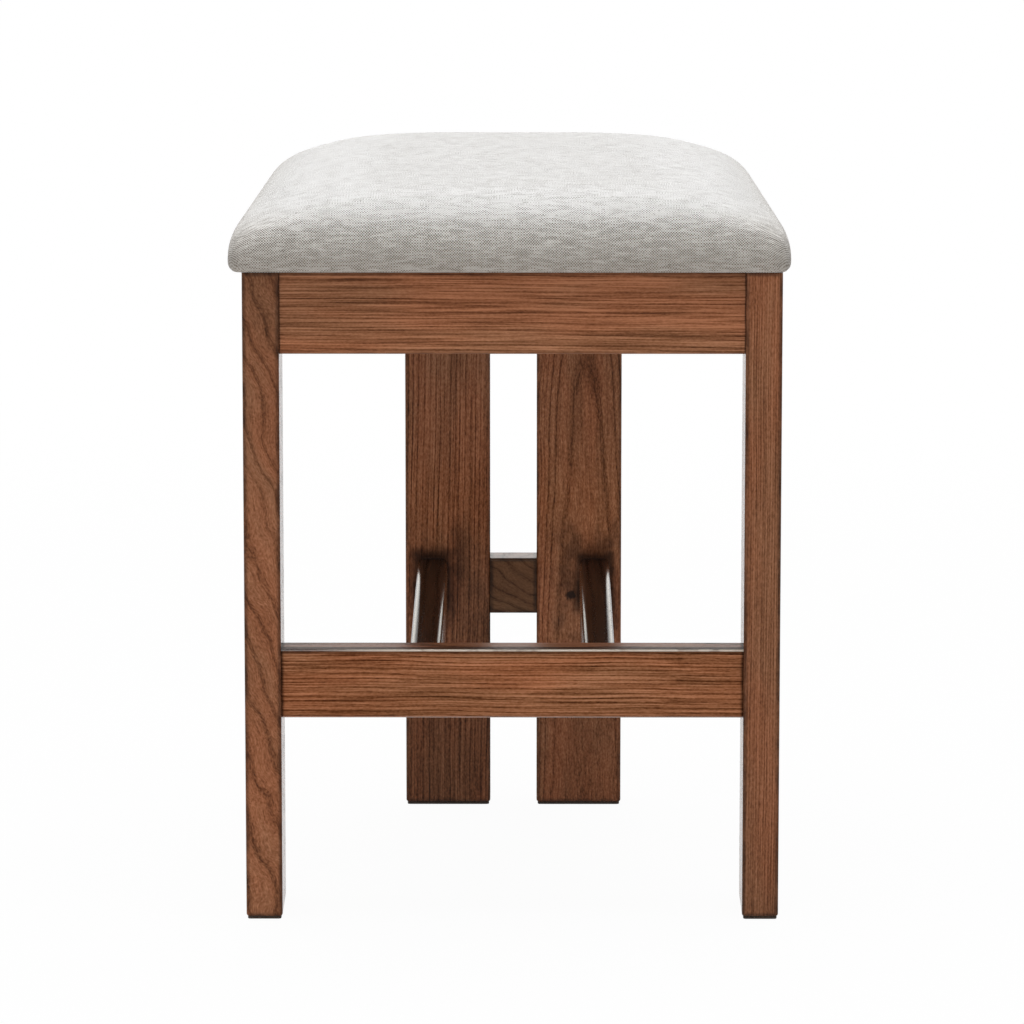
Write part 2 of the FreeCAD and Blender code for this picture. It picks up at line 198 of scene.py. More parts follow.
def makeFloor():
    pickNone()
    bpy.ops.mesh.primitive_plane_add(size=studio["floorSize"], location=(0.0, 0.0, -0.0004))
    floor = bpy.context.object
    floor.name = "studioFloor"
    mat = newMaterial("studioFloorWhite")
    paint = addNode(mat, "BsdfDiffuse", {"Color": grey(studio["floorGrey"])})
    # the floor's own white takes over further out, and close to the stool its shadow is left on it
    away = lengthOf(mat, addNode(mat, "TexCoord").outputs["Object"])
    share = fade(mat, away, studio["nearReach"], studio["farReach"], studio["nearGlow"], studio["farGlow"])
    share = calc(mat, "MULTIPLY", seenDirectly(mat), share)
    glow = addNode(mat, "Emission", {"Strength": 1.0})
    both = addNode(mat, "MixShader", {0: share, 1: paint.outputs[0], 2: glow.outputs[0]})
    addNode(mat, "OutputMaterial", {"Surface": both.outputs[0]})
    floor.data.materials.append(mat)


def makeWorld():
    world = bpy.data.worlds.new("studioRoom")
    world.use_nodes = True
    world.node_tree.nodes.clear()
    bright = addNode(world, "Background", {"Strength": 1.0})
    soft = addNode(world, "Background", {"Strength": studio["roomLight"]})
    both = addNode(world, "MixShader", {0: seenDirectly(world), 1: soft.outputs[0], 2: bright.outputs[0]})
    addNode(world, "OutputWorld", {"Surface": both.outputs[0]})
    scene.world = world


lamps = {
    "overheadLamp": {"spot": (0.0, 0.1, 2.7), "aim": (0.0, 0.0, 0.6), "size": (2.2, 2.0), "power": 64.0,
                     "colour": (0.975, 0.99, 1.02)},
    "frontLamp": {"spot": (-0.7, -4.6, 1.9), "aim": (0.0, 0.0, 0.4), "size": (2.6, 1.6), "power": 51.0,
                  "colour": (1.0, 0.99, 0.96)},
    "leftLamp": {"spot": (-2.7, -0.4, 1.2), "aim": (0.0, 0.0, 0.4), "size": (1.2, 2.0), "power": 10.0},
    "rightLamp": {"spot": (2.7, -0.4, 1.2), "aim": (0.0, 0.0, 0.4), "size": (1.2, 2.0), "power": 10.0},
    "backLamp": {"spot": (0.7, 4.4, 2.2), "aim": (0.0, 0.0, 0.4), "size": (2.6, 1.6), "power": 34.0},
    "lowBackLamp": {"spot": (0.0, 4.6, 0.55), "aim": (0.0, 0.0, 0.45), "size": (3.6, 0.9), "power": 15.0,
                    "colour": (1.0, 0.95, 0.86)},
}


def makeLamps():
    for name, lamp in lamps.items():
        pickNone()
        bpy.ops.object.light_add(type="AREA", location=lamp["spot"])
        made = bpy.context.object
        made.name = name
        made.data.shape = "RECTANGLE"
        made.data.size, made.data.size_y = lamp["size"]
        made.data.energy = lamp["power"]
        made.data.color = lamp.get("colour", (1.0, 1.0, 1.0))
        made.rotation_euler = (Vector(lamp["aim"]) - made.location).to_track_quat("-Z", "Y").to_euler()


makeFloor()
makeWorld()
makeLamps()
print("camera, floor and lamps are set")


# stained ash: growth rings round a pith line, pores gathered along each ring, glaze in the joints, painted
# shade and highlights

ashStain = {
    "pale": tint(186, 126, 92), "body": tint(151, 97, 66), "line": tint(101, 59, 34),
    "pore": tint(57, 30, 16), "glazeAndShade": tint(30, 15, 8), "paintedHighlight": tint(236, 220, 200),
    "redder": (1.04, 0.98, 0.94, 1.0), "greener": (0.96, 1.02, 1.03, 1.0), "dark": 0.24,
    "poreDepth": 0.00025, "coatBlur": 0.16, "crestDepth": (0.007, 0.001),
}

alongX, alongY = (0.0, 90.0, 0.0), (90.0, 0.0, 0.0)

# pith: a point on the log's centre line; turn: how that line lies; ring: width of a year's growth;
# uneven: how much good and poor years differ; crowd: above 1 the rings get closer further out;
# wander and wave: how far and how often the grain sways; seed: another part of the log;
# figure, streak and speck: how strongly rings, long streaks and short flecks show;
# tone, rise and crest: how dark the stain took along the piece, up it and on its top, which is painted shade
# on the rear legs, front apron and stretchers; cast: its hue;
# gloss and lacquer: roughness and refraction of the finish; open: how deep the pores are felt;
# rub, polish and bright: how wide an arris is rubbed, and how it shines;
# glazeAndShade, meets and reach: dark glaze along arrises and next to the pieces that this one meets, partly
# painted shade on the rounded arrises and round the stretchers' ends;
# shadeSpread and shadeSmear: how far the painted shade spreads round the pieces met, and how dark its smears
# get
plainTimber = {
    "crowd": 1.0, "wander": 0.012, "wave": (9.0, 3.0), "uneven": 0.9, "figure": 1.0, "streak": 0.9,
    "speck": 0.4, "tone": (1.0, 1.0), "rise": (1.0, 1.0), "crest": 1.0, "cast": (1.0, 1.0, 1.0),
    "gloss": 0.36, "lacquer": 1.2, "open": 0.3, "rub": 0.0, "polish": 1.5, "bright": 1.0, "glazeAndShade": 0.6,
    "meets": (), "reach": 0.004, "shadeSpread": (0.0, 0.0, 0.0), "shadeSmear": 0.0,
}
frontLeg = {"gloss": 0.12, "glazeAndShade": 0.75, "meets": ("front_apron", "foot_rail"), "reach": 0.003}
# rear legs: wide painted shade round where the stretchers meet them
rearLeg = {"speck": 0.8, "gloss": 0.22, "reach": 0.015, "shadeSpread": (0.002, 0.001, 0.008), "shadeSmear": 0.62}
stretcher = {
    # stretchers: crest darkens the top face, which is painted shade under the seat
    "turn": alongY, "ring": 0.0045, "wave": (9.0, 2.4), "figure": 0.8, "tone": (0.62, 0.62), "crest": 0.25,
    "gloss": 0.18, "lacquer": 1.06, "open": 0.02, "rub": 0.0050, "polish": 1.28, "bright": 0.5, "glazeAndShade": 0.0,
    "reach": 0.012,
}
timbers = {
    "front_leg_left": {
        **frontLeg, "pith": (-0.375, -0.190, 0.300), "turn": (0.0, -19.0, 0.0), "ring": 0.0150,
        "wander": 0.034, "wave": (16.0, 14.0), "figure": 0.62, "streak": 0.4, "speck": 0.7,
        "tone": (1.06, 0.80), "seed": 1.0},
    "front_leg_right": {
        **frontLeg, "pith": (0.485, -0.160, 0.000), "turn": (0.0, 0.5, 0.0), "ring": 0.0021, "wander": 0.010,
        "wave": (9.0, 2.4), "figure": 0.6, "streak": 0.8, "speck": 0.6, "tone": (0.82, 0.94), "seed": 2.0},
    # the rear legs' tone darkens towards the floor: painted shade under the foot rail and stretchers
    "rear_leg_left": {
        **rearLeg, "pith": (-0.330, 0.270, 0.000), "turn": (0.0, 1.0, 0.0), "ring": 0.0048, "figure": 0.85,
        "streak": 1.0, "tone": (0.74, 1.10), "meets": ("stretcher_left",), "seed": 3.0},
    "rear_leg_right": {
        **rearLeg, "pith": (0.068, 0.2436, 0.429), "turn": (-3.0, 0.0, 0.0), "ring": 0.0052, "crowd": 4.5,
        "wander": 0.009, "wave": (10.0, 7.0), "uneven": 0.3, "figure": 0.74, "streak": 0.6,
        "tone": (0.94, 1.30), "meets": ("stretcher_right",), "seed": 4.0},
    # the apron's rise darkens it towards its top: painted shade under the cushion's overhang
    "front_apron": {
        "pith": (0.000, -0.250, 0.330), "turn": (0.0, 90.2, 0.0), "ring": 0.0034, "wander": 0.007,
        "figure": 0.6, "streak": 1.6, "rise": (1.12, 0.92), "gloss": 0.38, "lacquer": 1.18, "glazeAndShade": 0.5,
        "meets": ("front_leg_left", "front_leg_right"), "reach": 0.0016, "seed": 5.0},
    "foot_rail": {
        "pith": (0.000, -0.190, 0.440), "turn": (0.0, 90.4, 0.0), "ring": 0.0040, "wave": (6.0, 4.0),
        "figure": 0.95, "streak": 1.2, "tone": (1.12, 1.14), "gloss": 0.3, "lacquer": 1.06, "open": 0.2,
        "rub": 0.0016, "polish": 1.9, "glazeAndShade": 0.3, "meets": ("front_leg_left", "front_leg_right"),
        "reach": 0.0035, "seed": 6.0},
    "stretcher_left": {
        **stretcher, "pith": (-0.020, 0.000, 0.120), "meets": ("rear_leg_left", "foot_rail"), "seed": 7.0},
    "stretcher_right": {
        **stretcher, "pith": (0.020, 0.000, 0.110), "meets": ("rear_leg_right", "foot_rail"), "seed": 8.0},
    "rear_spacer": {
        "pith": (-0.030, 0.225, 0.120), "turn": (0.0, 114.0, 0.0), "ring": 0.0110, "wander": 0.040,
        "wave": (16.0, 14.0), "figure": 0.7, "streak": 0.4, "tone": (0.50, 0.50), "cast": (0.90, 1.12, 1.14),
        "gloss": 0.30, "lacquer": 1.22, "open": 0.1, "glazeAndShade": 0.9, "seed": 9.0},
    "side_apron_left": {
        "pith": (-0.300, 0.000, 0.400), "turn": (90.0, 0.0, -2.9), "ring": 0.0036,
        "meets": ("front_leg_left",), "seed": 10.0},
    "side_apron_right": {
        "pith": (0.300, 0.000, 0.420), "turn": (90.0, 0.0, 2.9), "ring": 0.0042, "wander": 0.014,
        "meets": ("front_leg_right",), "seed": 11.0},
    "rear_apron_left": {
        "pith": (0.000, 0.250, 0.360), "turn": alongX, "ring": 0.0036, "meets": ("rear_leg_left",),
        "seed": 12.0},
    "rear_apron_right": {
        "pith": (0.000, 0.250, 0.380), "turn": alongX, "ring": 0.0040, "meets": ("rear_leg_right",),
        "seed": 13.0},
    "rear_apron_centre": {
        "pith": (0.000, 0.255, 0.400), "turn": alongX, "ring": 0.0044, "wander": 0.014,
        "tone": (0.94, 0.94), "meets": ("rear_leg_left", "rear_leg_right"), "seed": 14.0},
}
crowdRadius = 0.043  # where a crowded ring has the width that its timber names
pinKnot = {"node": "rear_leg_right", "spot": (0.0549, 0.206, 0.2037), "core": 0.0030, "reach": 0.0068,
           "lumps": 0.006, "dark": 0.95}

# painted light on the foot rail, as distances in from its top and its front: painted shade as a dark strip on
# the tread, a painted highlight as a pale line along the arris, which starts past the left end, and dark
# glaze under that line
railLightAndWear = {
    "node": "foot_rail", "top": (0.0009, 0.0004), "strip": (0.009, 0.014), "stripShade": 0.85, "backShade": 0.20,
    "waxed": 0.11, "under": (0.0052, 0.0034), "underDark": 0.5, "front": (0.0010, 0.0018),
    "line": (0.0008, 0.0007), "lineHalf": 0.0003, "lineReach": (0.0003, 0.0013), "pale": 0.70,
    "patches": (0.34, 0.52), "leftEnd": (-0.19, -0.10),
}


def nearArris(mat, place, low, high):  # how far inside the nearest long or short edge
    fromMiddle = vectorCalc(mat, "ABSOLUTE", vectorCalc(mat, "SUBTRACT", place, (low + high) / 2))
    inside = vectorCalc(mat, "SUBTRACT", (high - low) / 2, fromMiddle)
    inside = addNode(mat, "SeparateXYZ", {0: inside}).outputs
    pairs = [calc(mat, "MAXIMUM", inside[a], inside[b]) for a, b in ((0, 1), (0, 2), (1, 2))]
    return calc(mat, "MINIMUM", pairs[0], calc(mat, "MINIMUM", pairs[1], pairs[2]))


def nearPiece(mat, place, low, high):  # how far outside a squared piece
    fromMiddle = vectorCalc(mat, "ABSOLUTE", vectorCalc(mat, "SUBTRACT", place, (low + high) / 2))
    outside = vectorCalc(mat, "SUBTRACT", fromMiddle, (high - low) / 2)
    return lengthOf(mat, vectorCalc(mat, "MAXIMUM", outside))


def sway(mat, board, stretch, size):  # a noise that pushes grain or yarns sideways
    push = vectorCalc(mat, "SUBTRACT", noise(mat, board, stretch, 2.0).outputs[1], (0.5, 0.5, 0.5))
    return vectorCalc(mat, "MULTIPLY", push, [size] * 3)


def growthRings(mat, place, cut):
    turn = [math.radians(angle) for angle in cut["turn"]]
    log = addNode(mat, "Mapping", {"Vector": place, "Location": cut["pith"], "Rotation": turn},
                  vector_type="TEXTURE").outputs[0]
    board = vectorCalc(mat, "ADD", log, [cut["seed"] * step for step in (7.3, 3.1, 11.7)])
    drift = sway(mat, board, (cut["wave"][0], cut["wave"][0], cut["wave"][1]), cut["wander"])
    ragged = sway(mat, board, (150.0, 150.0, 40.0), 0.0008)
    bent = vectorCalc(mat, "ADD", vectorCalc(mat, "ADD", log, drift), ragged)
    radius = lengthOf(mat, vectorCalc(mat, "MULTIPLY", bent, (1.0, 1.0, 0.0)))
    years = calc(mat, "POWER", calc(mat, "DIVIDE", radius, crowdRadius), cut["crowd"])
    years = calc(mat, "MULTIPLY", years, crowdRadius / cut["ring"] / cut["crowd"])
    uneven = addNode(mat, "TexNoise", {"W": years, "Scale": 0.31, "Detail": 1.0}, noise_dimensions="1D")
    years = calc(mat, "ADD", years, calc(mat, "MULTIPLY", uneven.outputs[0], cut["uneven"]))
    band = ramp(mat, calc(mat, "FRACT", years), ((0.0, grey(1.0)), (0.09, grey(0.80)), (0.20, grey(0.24)),
                                                 (0.40, grey(0.05)), (0.88, grey(0.22)), (1.0, grey(1.0))))
    year = addNode(mat, "TexWhiteNoise", {"W": calc(mat, "FLOOR", years)}, noise_dimensions="1D").outputs[0]
    return vectorCalc(mat, "ADD", board, drift), band, year


def ashFigure(mat, place, cut):  # the stained figure, its pores and its fibres
    grain, band, year = growthRings(mat, place, cut)
    line = calc(mat, "MULTIPLY", band, fade(mat, year, 0.0, 1.0, 0.6, 1.0))
    pores = fade(mat, noise(mat, grain, (1500.0, 1500.0, 150.0), 0.0).outputs[0], 0.54, 0.70)
    pores = calc(mat, "MULTIPLY", pores, fade(mat, line, 0.0, 0.7, 0.30, 1.0))
    fibre = noise(mat, grain, (900.0, 900.0, 26.0), 2.0, 0.6).outputs[0]
    # what darkens the stain, and by how much
    parts = ((line, 0.0, 0.52 * cut["figure"]), (pores, 0.0, 0.24 * cut["figure"]), (fibre, 0.5, 0.45),
             (noise(mat, grain, (820.0, 820.0, 9.0), 2.0, 0.6).outputs[0], 0.5, cut["streak"]),
             (noise(mat, grain, (300.0, 300.0, 5.0), 1.0).outputs[0], 0.5, 0.4 * cut["streak"]),
             (noise(mat, grain, (760.0, 760.0, 330.0), 1.0).outputs[0], 0.5, cut["speck"]),
             (noise(mat, grain, (16.0, 16.0, 3.5), 2.0).outputs[0], 0.5, 0.40))
    dark = weighed(mat, ashStain["dark"], parts)
    colour = ramp(mat, dark, ((0.0, ashStain["pale"]), (0.32, ashStain["body"]), (0.66, ashStain["line"]),
                              (1.0, ashStain["pore"])))
    hue = fade(mat, noise(mat, grain, (34.0, 34.0, 6.0), 2.0).outputs[0], 0.36, 0.64)
    shift = mixColour(mat, hue, ashStain["redder"], ashStain["greener"])
    return mixColour(mat, 1.0, colour, shift, "MULTIPLY"), pores, fibre


def stainAndShade(mat, axes, cut, low, high):  # how much stain the piece took along it, up it and on its top, with painted shade in it on some pieces
    longest = max(range(3), key=lambda axis: high[axis] - low[axis])
    crest = [high.z - depth for depth in ashStain["crestDepth"]]
    tone = fade(mat, axes[longest], low[longest], high[longest], *cut["tone"])
    tone = calc(mat, "MULTIPLY", tone, fade(mat, axes[2], low.z, high.z, *cut["rise"]))
    tone = calc(mat, "MULTIPLY", tone, fade(mat, axes[2], *crest, 1.0, cut["crest"]))
    shares = [calc(mat, "MULTIPLY", tone, share) for share in cut["cast"]]
    return addNode(mat, "CombineXYZ", dict(enumerate(shares))).outputs[0]


def jointGlazeAndShade(mat, place, toArris, patchy, cut):  # dark glaze along the arrises and where pieces meet, in patches; partly painted shade, on the rounded arrises and round the stretchers' ends on the rear legs
    # painted shade: the rounded arrises are darkened as a dark reflection would darken them
    arris = fade(mat, toArris, 0.0012, 0.0046, 1.0, 0.0)
    glazeAndShade = calc(mat, "MULTIPLY", arris, fade(mat, patchy, 0.3, 0.7, 0.5 * cut["glazeAndShade"], cut["glazeAndShade"]))
    ragged = calc(mat, "MULTIPLY", calc(mat, "SUBTRACT", patchy, 0.5), cut["reach"] * 0.8)
    shadeSmears = fade(mat, noise(mat, place, (48.0, 48.0, 30.0), 3.0).outputs[0], 0.42, 0.66, 0.0, cut["shadeSmear"])
    # next to each piece met: dark joint glaze, which on the rear legs spreads into painted shade round the
    # stretchers' ends
    for node in cut["meets"]:
        start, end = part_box(node)
        narrow, above, below = cut["shadeSpread"]
        start, end = start + Vector((narrow, 0.0, below)), end + Vector((-narrow, 0.0, above))
        gap = calc(mat, "ADD", nearPiece(mat, place, start, end), ragged)
        glazeAndShade = calc(mat, "MAXIMUM", glazeAndShade, fade(mat, gap, 0.0, cut["reach"], 0.9, 0.0))
        if cut["shadeSmear"]:  # painted shade: darker patches round the stretchers' ends
            near = fade(mat, gap, 0.0, 0.06, 1.0, 0.0)
            glazeAndShade = calc(mat, "MAXIMUM", glazeAndShade, calc(mat, "MULTIPLY", shadeSmears, near))
    return glazeAndShade


def knotMark(mat, place):
    away = lengthOf(mat, vectorCalc(mat, "SUBTRACT", place, pinKnot["spot"]))
    lumps = calc(mat, "SUBTRACT", noise(mat, place, (300.0, 300.0, 200.0), 2.0).outputs[0], 0.5)
    away = calc(mat, "ADD", away, calc(mat, "MULTIPLY", lumps, pinKnot["lumps"]))
    return fade(mat, away, pinKnot["core"], pinKnot["reach"], pinKnot["dark"], 0.0)


def treadShadeAndHighlight(mat, colour, place, axes, patchy, low, high):  # painted shade and highlight on the colour, and where the tread shines
    tread = fade(mat, axes[2], *[high.z - depth for depth in railLightAndWear["top"]])
    strip = [low.y + depth for depth in railLightAndWear["strip"]]
    stripShade = fade(mat, axes[1], *strip, railLightAndWear["stripShade"], railLightAndWear["backShade"])
    # painted shade: the tread is darker, most in a strip along its front
    colour = mixColour(mat, calc(mat, "MULTIPLY", tread, stripShade), colour, ashStain["glazeAndShade"])
    under = fade(mat, axes[2], *[high.z - depth for depth in railLightAndWear["under"]], 0.0, railLightAndWear["underDark"])
    front = fade(mat, axes[1], *[low.y + depth for depth in railLightAndWear["front"]], 1.0, 0.0)
    colour = mixColour(mat, calc(mat, "MULTIPLY", under, front), colour, ashStain["glazeAndShade"])
    inward, down = railLightAndWear["line"]
    line = Vector((0.0, low.y + inward, high.z - down))
    half = Vector((high.x, railLightAndWear["lineHalf"], railLightAndWear["lineHalf"]))
    away = nearPiece(mat, place, line - half, line + half)
    # painted highlight: a pale line along the front arris
    highlight = fade(mat, away, *railLightAndWear["lineReach"], railLightAndWear["pale"], 0.0)
    highlight = calc(mat, "MULTIPLY", highlight, fade(mat, patchy, *railLightAndWear["patches"], 0.5, 1.0))
    highlight = calc(mat, "MULTIPLY", highlight, fade(mat, axes[0], *railLightAndWear["leftEnd"]))
    shine = calc(mat, "MULTIPLY", tread, fade(mat, axes[1], *strip, 0.0, railLightAndWear["waxed"]))
    return mixColour(mat, highlight, colour, ashStain["paintedHighlight"]), shine


def stainedAsh(node, cut, low, high):
    mat = newMaterial("stainedAsh_" + node)
    place = addNode(mat, "TexCoord").outputs["Object"]
    axes = addNode(mat, "SeparateXYZ", {0: place}).outputs
    toArris = nearArris(mat, place, low, high)
    patchy = noise(mat, place, (60.0, 60.0, 60.0), 3.0).outputs[0]
    colour, pores, fibre = ashFigure(mat, place, cut)
    colour = mixColour(mat, 1.0, colour, stainAndShade(mat, axes, cut, low, high), "MULTIPLY")
    glazeAndShade = jointGlazeAndShade(mat, place, toArris, patchy, cut)
    if node == pinKnot["node"]:
        glazeAndShade = calc(mat, "MAXIMUM", glazeAndShade, knotMark(mat, place))
    colour = mixColour(mat, glazeAndShade, colour, ashStain["glazeAndShade"])
    shine = 0.0
    if node == railLightAndWear["node"]:
        colour, shine = treadShadeAndHighlight(mat, colour, place, axes, patchy, low, high)
    rough = calc(mat, "ADD", calc(mat, "MULTIPLY", pores, 0.2), cut["gloss"])
    settings = {"Base Color": colour, "Roughness": rough, "IOR": cut["lacquer"]}
    if cut["rub"]:  # hands and feet rub the edges bright
        rubbed = fade(mat, toArris, cut["rub"] * 0.6, cut["rub"] * 1.2, cut["bright"], 0.0)
        settings["Coat Weight"] = calc(mat, "MAXIMUM", rubbed, shine)
        settings["Coat IOR"] = cut["polish"]
        settings["Coat Roughness"] = ashStain["coatBlur"]
    height = calc(mat, "SUBTRACT", calc(mat, "MULTIPLY", fibre, 0.25), pores)
    return finishMaterial(mat, settings, height, ashStain["poreDepth"], cut["open"])


for node, cut in timbers.items():
    dress(node, stainedAsh(node, {**plainTimber, **cut}, *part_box(node)))
print("timbers are stained:", len(timbers))


# hidden joinery and fittings: pale block wood, beech pins, plywood, zinc and staple wire

blockWood = {"ring": 0.0042, "crowd": 1.0, "wander": 0.014, "wave": (9.0, 3.0), "uneven": 0.9,
             "stops": ((0.0, tint(222, 190, 146)), (0.45, tint(205, 168, 122)), (1.0, tint(160, 118, 76)))}
blocks = {"front_corner_block_left": -45.0, "front_corner_block_right": 45.0,
          "rear_corner_block_left": 45.0, "rear_corner_block_right": -45.0}
beechNodes = ("corner_splines", "rear_apron_dowels", "spacer_dowels", "stretcher_dowels")
zincNodes = ("corner_block_screws", "seat_bolts", "seat_t_nuts", "seat_washers")
stapleNodes = ("cover_staples", "dust_cover_staples")
plywood = {"layer": 0.0015, "pale": tint(226, 196, 152), "body": tint(208, 173, 126),
           "dark": tint(168, 128, 86)}


def plainWood(name, cut):
    mat = newMaterial(name)
    place = addNode(mat, "TexCoord").outputs["Object"]
    grain, band, year = growthRings(mat, place, cut)
    fibre = noise(mat, grain, (700.0, 700.0, 24.0), 3.0, 0.65).outputs[0]
    dark = calc(mat, "ADD", calc(mat, "MULTIPLY", band, 0.30), calc(mat, "MULTIPLY", fibre, 0.55))
    colour = ramp(mat, dark, cut["stops"])
    return finishMaterial(mat, {"Base Color": colour, "Roughness": 0.68}, fibre, 0.0002, 0.3)


def beech():  # straight grain with short dark rays
    mat = newMaterial("beechPins")
    place = addNode(mat, "TexCoord").outputs["Object"]
    rays = fade(mat, noise(mat, place, (900.0, 320.0, 900.0), 0.0).outputs[0], 0.60, 0.72)
    fibre = noise(mat, place, (500.0, 90.0, 500.0), 3.0, 0.6).outputs[0]
    colour = ramp(mat, fibre, ((0.25, tint(226, 190, 150)), (0.75, tint(196, 152, 108))))
    colour = mixColour(mat, calc(mat, "MULTIPLY", rays, 0.6), colour, tint(146, 98, 62))
    return finishMaterial(mat, {"Base Color": colour, "Roughness": 0.6}, fibre, 0.0002, 0.3)


def layeredPly():
    mat = newMaterial("birchPly")
    place = addNode(mat, "TexCoord").outputs["Object"]
    layer = calc(mat, "DIVIDE", addNode(mat, "SeparateXYZ", {0: place}).outputs[2], plywood["layer"])
    turned = calc(mat, "GREATER_THAN", calc(mat, "FLOORED_MODULO", layer, 2.0), 1.0)
    lengthways = noise(mat, place, (24.0, 520.0, 520.0), 3.0, 0.6).outputs[0]
    sideways = noise(mat, place, (520.0, 24.0, 520.0), 3.0, 0.6).outputs[0]
    fibre = addNode(mat, "Mix", {0: turned, 2: lengthways, 3: sideways}, data_type="FLOAT").outputs[0]
    glueLine = fade(mat, calc(mat, "PINGPONG", layer, 0.5), 0.0, 0.10, 1.0, 0.0)
    dark = calc(mat, "ADD", fibre, calc(mat, "MULTIPLY", turned, 0.14))
    colour = ramp(mat, dark, ((0.25, plywood["pale"]), (0.55, plywood["body"]), (0.9, plywood["dark"])))
    colour = mixColour(mat, calc(mat, "MULTIPLY", glueLine, 0.4), colour, tint(104, 72, 46))
    return finishMaterial(mat, {"Base Color": colour, "Roughness": 0.66}, fibre, 0.0002, 0.3)


def platedSteel(name, pale, dark, rough):  # zinc crystals, a little clouded
    mat = newMaterial(name)
    place = addNode(mat, "TexCoord").outputs["Object"]
    grains = addNode(mat, "TexVoronoi", {"Vector": place, "Scale": 700.0}).outputs["Color"]
    cloud = noise(mat, place, (260.0, 260.0, 260.0), 3.0).outputs[0]
    colour = mixColour(mat, cloud, pale, dark)
    colour = mixColour(mat, 0.10, colour, grains, "OVERLAY")
    blur = fade(mat, cloud, 0.3, 0.7, rough, rough + 0.16)
    return finishMaterial(mat, {"Base Color": colour, "Metallic": 1.0, "Roughness": blur}, cloud, 0.0001, 0.2)


for number, (node, angle) in enumerate(blocks.items()):
    low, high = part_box(node)
    cut = {**blockWood, "pith": (low + high) / 2 - Vector((0.0, 0.0, 0.06)), "turn": (90.0, 0.0, angle),
           "seed": 20.0 + number}
    dress(node, plainWood("blockWood_" + node, cut))
beechPins, birchPly = beech(), layeredPly()
zincSteel = platedSteel("zincSteel", tint(206, 206, 202), tint(168, 170, 170), 0.26)
stapleWire = platedSteel("stapleWire", tint(188, 188, 186), tint(140, 140, 140), 0.32)
for nodes, mat in ((beechNodes, beechPins), (zincNodes, zincSteel), (stapleNodes, stapleWire),
                   (("seat_board",), birchPly)):
    for node in nodes:
        dress(node, mat)
print("joinery and fittings are finished")


# seat cushion: sections bridged into a crowned form, then blown up a little as cloth

squareCorner = 0.2929  # how far a round corner lies inside its square one, as a share of its radius
cushion = {
    "frontWidth": 0.492, "backWidth": 0.442, "depth": 0.500, "widestHeight": 0.583,
    "lowest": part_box("seat_cover")[0].z, "top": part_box("seat_cover")[1].z,
    "frontCorner": 0.012, "backCorner": 0.045, "crownCorner": 0.40, "cornerGrowth": 2.2, "edgeRoll": 0.006,
    "sidePower": 3.2, "frontPower": 8.5, "crownPower": 3.6, "startInset": 0.0003, "startTop": 0.0012,
    "sectionPoints": 240, "rollSections": 5, "crownSections": 22, "crownReach": 0.945,
    "voxel": 0.0046, "pressure": 4.0, "stiffness": 6.0, "frames": 20, "mostSwell": 0.0016,
    "evenings": 50, "heldBelow": 0.594, "dome": 0.0006, "shift": -0.0025, "nudge": 1e-5, "settlings": 8,
    "mostSettling": 0.002,
}


def seatSections():  # inset, height, shrink across and along, and rise of each, from below to the crown
    sections = []
    low, mid, top = cushion["lowest"], cushion["widestHeight"], cushion["top"] - cushion["startTop"]
    for step in range(cushion["rollSections"]):
        turn = math.pi / 2 * (1 - step / cushion["rollSections"])
        tuck = cushion["edgeRoll"] * (1 - math.cos(turn))
        sections.append((cushion["startInset"] + tuck, mid - (mid - low) * math.sin(turn), 1.0, 1.0, 0.0))
    for step in range(cushion["crownSections"] + 1):
        rise = math.sin(math.pi / 2 * cushion["crownReach"] * step / cushion["crownSections"])
        left = 1 - rise ** cushion["crownPower"]
        sections.append((cushion["startInset"], mid + (top - mid) * rise, left ** (1 / cushion["sidePower"]),
                         left ** (1 / cushion["frontPower"]), rise))
    return sections


def seatSpot(angle, inset, shrinkAcross, shrinkAlong, rise):  # a point of the seat's rounded, tapered plan
    halfDepth = cushion["depth"] / 2 - inset
    halfFront, halfBack = cushion["frontWidth"] / 2 - inset, cushion["backWidth"] / 2 - inset
    corner = cushion["frontCorner"] if math.sin(angle) < 0 else cushion["backCorner"]
    share = max(corner - inset, 0.001) / halfBack
    share += (cushion["crownCorner"] - share) * rise ** cushion["cornerGrowth"]
    power = math.log(2) / -math.log(1 - squareCorner * share)
    reach = (abs(math.cos(angle)) ** power + abs(math.sin(angle)) ** power) ** (-1 / power)
    across, along = reach * math.cos(angle), reach * math.sin(angle)
    halfWidth = halfFront + (halfBack - halfFront) * (along + 1) / 2
    return across * halfWidth * shrinkAcross, along * halfDepth * shrinkAlong


def seatOutline(inset, height, *form):
    turns = [2 * math.pi * step / cushion["sectionPoints"] for step in range(cushion["sectionPoints"])]
    return [(*seatSpot(angle, inset, *form), height) for angle in turns]


def makeCushion():
    pickNone()
    sections = seatSections()
    bpy.ops.mesh.primitive_circle_add(vertices=cushion["sectionPoints"], radius=0.2)
    piece = bpy.context.object
    piece.name = "seat_cushion"
    bpy.ops.object.mode_set(mode="EDIT")
    for section in sections[1:]:
        bpy.ops.mesh.primitive_circle_add(vertices=cushion["sectionPoints"], radius=0.2)
    bpy.ops.object.mode_set(mode="OBJECT")
    setCorners(piece, np.array([spot for section in sections for spot in seatOutline(*section)]))
    bpy.ops.object.mode_set(mode="EDIT")
    bpy.ops.mesh.select_all(action="SELECT")
    bpy.ops.mesh.bridge_edge_loops()
    bpy.ops.mesh.select_all(action="SELECT")
    bpy.ops.mesh.fill_holes(sides=0)
    bpy.ops.mesh.select_all(action="SELECT")
    bpy.ops.mesh.normals_make_consistent(inside=False)
    bpy.ops.object.mode_set(mode="OBJECT")
    remesh = piece.modifiers.new("evenMesh", "REMESH")
    remesh.mode = "VOXEL"
    remesh.voxel_size = cushion["voxel"]
    applyModifiers(piece)
    return piece


